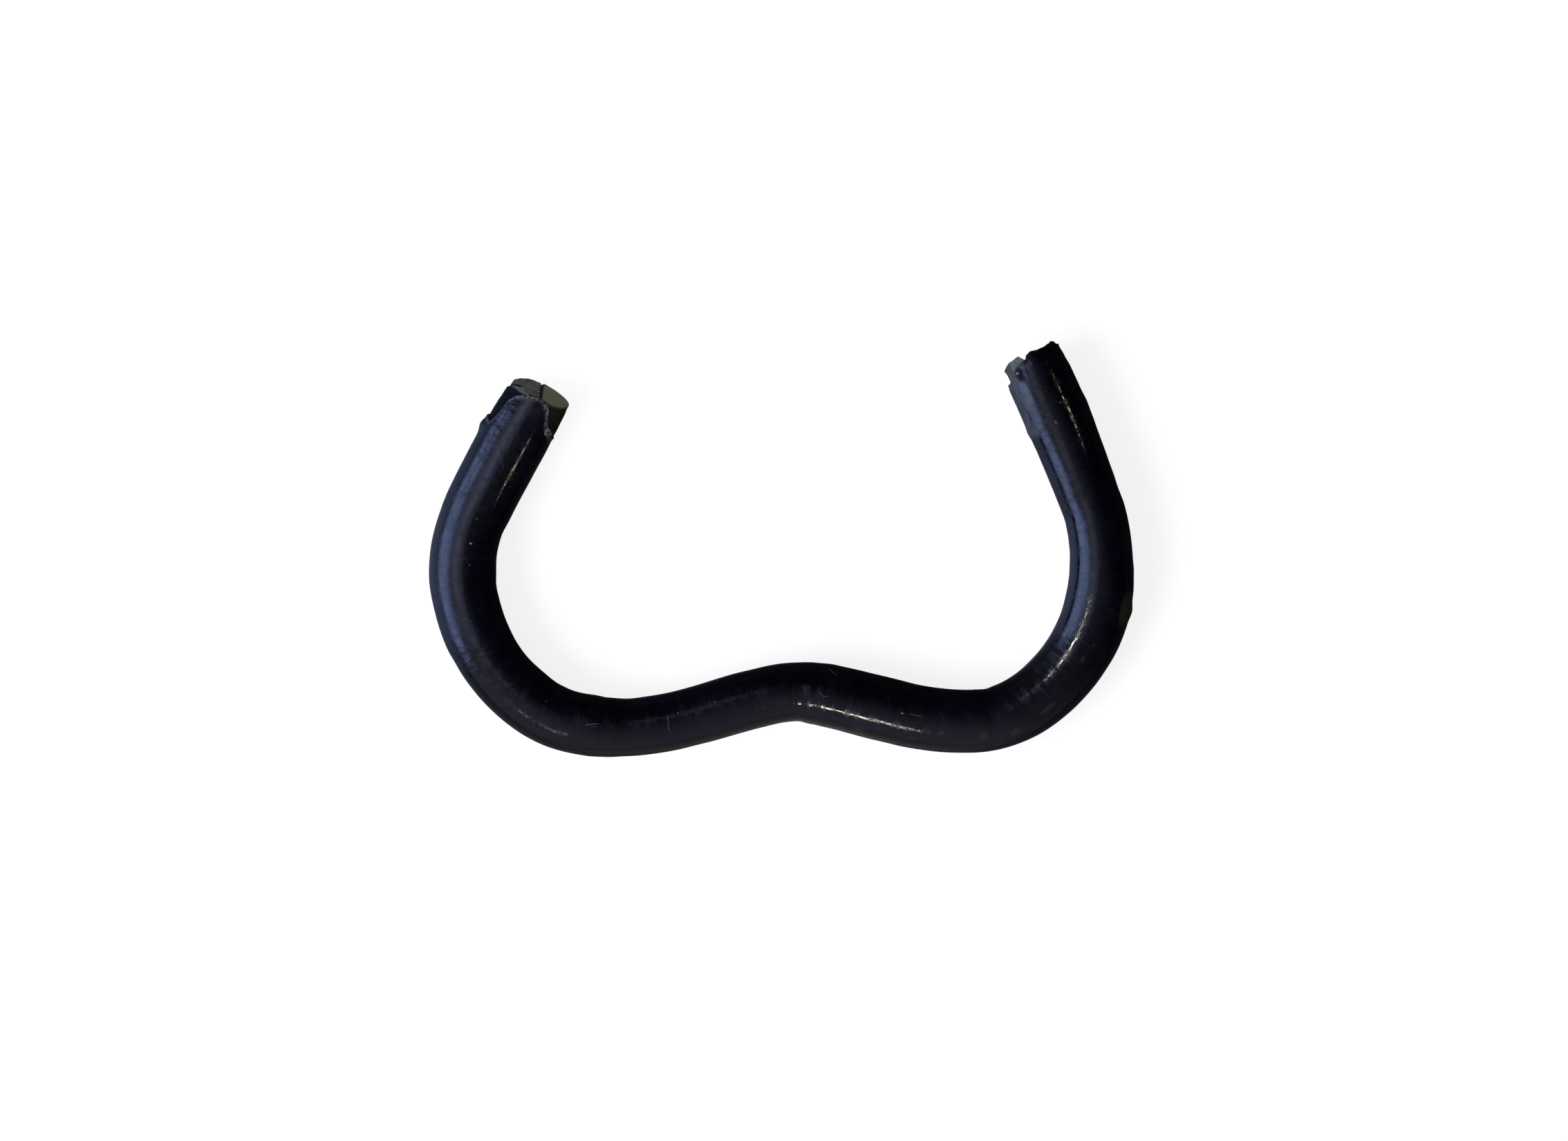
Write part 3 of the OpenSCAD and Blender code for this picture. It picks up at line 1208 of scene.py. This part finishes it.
@dataclass
class Studio:
    """Camera, floor, surroundings and lamps."""

    line: Centreline
    camera_place: tuple[float, float, float] = (-0.000937, 0.008043, 0.6)
    frame_width: float = 0.10365
    floor_z: float = -0.002105
    floor_radius: float = 1.2
    lamps: tuple[Softbox, ...] = (
        Softbox("key", towards(205, 42, 0.6), (0.42, 0.3), (8.4, 8.7, 9.2), mirrored=False),
        Softbox(
            "tip_fill",
            (-0.0047, 0.0392, 0.0328),
            (0.008, 0.008),
            (40, 40, 33),
            (-0.0172, 0.02, 0.0),
            9.0,
        ),
    )
    glints: tuple[Glint, ...] = (
        Glint("leg_glint", -36.2, 22.5, (0.0016, 0.003), (150, 136, 84), 1.35),
        Glint("far_leg_glint", 37.1, -22.0, (0.003, 0.003), (130, 118, 84), 1.35),
        Glint("corner_glint_low", 19.0, 15.5, (0.005, 0.005), (150, 140, 122), 1.5),
        Glint("corner_glint_middle", 20.3, 15.5, (0.01, 0.005), (180, 168, 150), 1.9),
        Glint("corner_glint_high", 22.8, 15.5, (0.004, 0.004), (70, 66, 58), 1.8),
        Glint("crown_glint", 1.4, -23.0, (0.007, 0.006), (120, 110, 94), 2.6),
        Glint("slope_glint", 4.0, -23.0, (0.006, 0.005), (120, 110, 94), 2.6),
        Glint("trough_glint", 8.0, -24.0, (0.005, 0.003), (60, 54, 46), 2.2),
        Glint("hip_glint", -16.1, -25.5, (0.02, 0.01), (12, 11.2, 9.6), 3.6),
        Glint("flank_glint", -18.2, -25.5, (0.014, 0.01), (9, 8.4, 7.2), 3.0),
        Glint("leg_glow", -34.0, -9.0, (0.06, 0.05), (0.55, 0.62, 1.0), 24.0, 0.07),
    )

    def _camera(self) -> None:
        """Sets the camera above the ring, looking straight down."""
        lens = bpy.data.cameras.new("overhead")
        lens.sensor_width = 36.0
        drop = self.camera_place[2]
        lens.lens = 36.0 * drop / self.frame_width
        lens.clip_start = 0.01
        camera = bpy.data.objects.new("overhead", lens)
        camera.location = self.camera_place
        bpy.context.scene.collection.objects.link(camera)
        bpy.context.scene.camera = camera

    def _floor(self) -> None:
        """Lays the floor: white to the camera with the ring's shadow, a dim table to reflections with painted
        shade in and behind the ring.
        """
        bm = bmesh.new()
        bmesh.ops.create_circle(bm, cap_ends=True, segments=96, radius=self.floor_radius)
        bmesh.ops.translate(bm, verts=bm.verts, vec=(0, 0, self.floor_z))
        mesh = bpy.data.meshes.new("floor")
        bm.to_mesh(mesh)
        bm.free()
        floor = bpy.data.objects.new("floor", mesh)
        bpy.context.scene.collection.objects.link(floor)
        material, graph = new_material("pale_floor")
        paper = graph.add("ShaderNodeBsdfDiffuse", {}, {"Color": (0.26, 0.26, 0.26, 1)})
        glow = graph.add("ShaderNodeEmission", {}, {"Color": (1, 1, 1, 1), "Strength": 0.82})
        white = graph.add("ShaderNodeAddShader", {}, {0: paper, 1: glow})
        x, y, _ = graph.split(graph.add("ShaderNodeTexCoord", {}, output="Object"))
        # The table's tone is painted: dark in and behind the ring as painted shade, lighter on the outer -Y
        # side.
        near_side = (0 - y - 0.5 * abs(x)).rise(0.001, 0.003)
        table_shade_tone = graph.mix(near_side, (0.012, 0.012, 0.009, 1), (0.2, 0.205, 0.15, 1))
        dull = graph.add("ShaderNodeBsdfDiffuse", {}, {"Color": table_shade_tone})
        sheen = graph.add("ShaderNodeBsdfGlossy", {}, {"Color": (0.9, 0.9, 0.9, 1), "Roughness": 0.35})
        table = graph.add("ShaderNodeMixShader", {}, {0: 0.3, 1: dull, 2: sheen})
        seen = graph.add("ShaderNodeLightPath", {}, output="Is Camera Ray")
        graph.surface(graph.add("ShaderNodeMixShader", {}, {0: seen, 1: table, 2: white}))
        mesh.materials.append(material)

    def _surroundings(self) -> None:
        """Sets the world: plain even light, and a dim room for the coat to reflect."""
        world = bpy.data.worlds.new("room")
        world.use_nodes = True
        bpy.context.scene.world = world
        graph = Graph(world.node_tree)
        way = graph.add("ShaderNodeTexCoord", {}, output="Generated")
        toward = graph.add(
            "ShaderNodeVectorMath", {"operation": "DOT_PRODUCT"}, {0: way, 1: (-0.71, -0.71, 0.0)}, "Value",
        )
        x, y, z = graph.split(way)
        bearing = y.arctan(0 - x)
        top = 0.84 + 0.35 * bearing.least(0.0)
        window = bearing.rise(-0.58, -0.4) * bearing.rise(0.6, 0.46) * (z - top).rise(0.04, -0.3)
        panes = graph.cloud(way, 16.0, 4.0, 0.65)
        window = window * (1.25 - z * 0.8) * z.rise(-0.05, 0.3) * (0.4 + 1.3 * panes.rise(0.3, 0.7))
        panel = bearing.rise(-0.7, -0.3) * bearing.rise(1.0, 0.7) * z.rise(0.7, 0.9) * z.rise(1.0, 0.93)
        room = graph.mix(toward.rise(-0.5, 0.8), (0, 0, 0, 1), (0.33, 0.33, 0.42, 1))
        room = graph.glow(room, window, (1.4, 1.95, 3.9, 1))
        room = graph.glow(room, panel, (0.34, 0.39, 0.52, 1))
        dim = graph.add("ShaderNodeBackground", {}, {"Color": room, "Strength": 1.0})
        plain = graph.add("ShaderNodeBackground", {}, {"Color": (1, 1, 1, 1), "Strength": 0.37})
        white = graph.add("ShaderNodeBackground", {}, {"Color": (1, 1, 1, 1), "Strength": 1.0})
        path = graph.add("ShaderNodeLightPath", {}, output="Is Glossy Ray")
        camera = Signal(graph, path.socket.node.outputs["Is Camera Ray"])
        lit = graph.add("ShaderNodeMixShader", {}, {0: path, 1: plain, 2: dim})
        graph.surface(graph.add("ShaderNodeMixShader", {}, {0: camera, 1: lit, 2: white}))

    def build(self) -> None:
        """Sets up the whole studio."""
        self._camera()
        self._floor()
        self._surroundings()
        for lamp in (*self.lamps, *(glint.softbox(self.line) for glint in self.glints)):
            lamp.build()
            LOG.info("lamp %s hung", lamp.name)
        bpy.context.scene.view_settings.view_transform = "Standard"


@dataclass
class HogRing:
    """The whole ring: the coat and the wire in it."""

    line: Centreline = field(default_factory=Centreline)
    girth: Girth = field(default_factory=Girth)

    def build(self) -> None:
        """Makes both pieces, dresses them and puts them in the place of the plain solids."""
        coat = Coat(self.line, self.girth).build()
        coat.data.materials.append(VinylFinish().build())
        self._seat(coat, "coating")
        wire = SteelWire(self.line, self.girth).build()
        wire.data.materials.append(SteelFinish().build({end: self.line.length(end) for end in End}))
        self._seat(wire, "wire")

    def _seat(self, piece: bpy.types.Object, node: str) -> None:
        """Puts a piece in the place of a plain solid.

        Args:
            piece: The piece.
            node: The solid that it stands for.
        """
        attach(piece, "root")
        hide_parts(node)
        LOG.info("%s stands for %s", piece.name, node)


def main() -> None:
    """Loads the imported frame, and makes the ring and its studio."""
    logging.basicConfig(level=logging.INFO, format="%(name)s %(message)s")
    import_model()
    ring = HogRing()
    ring.build()
    Studio(ring.line).build()


if __name__ == "__main__":
    main()
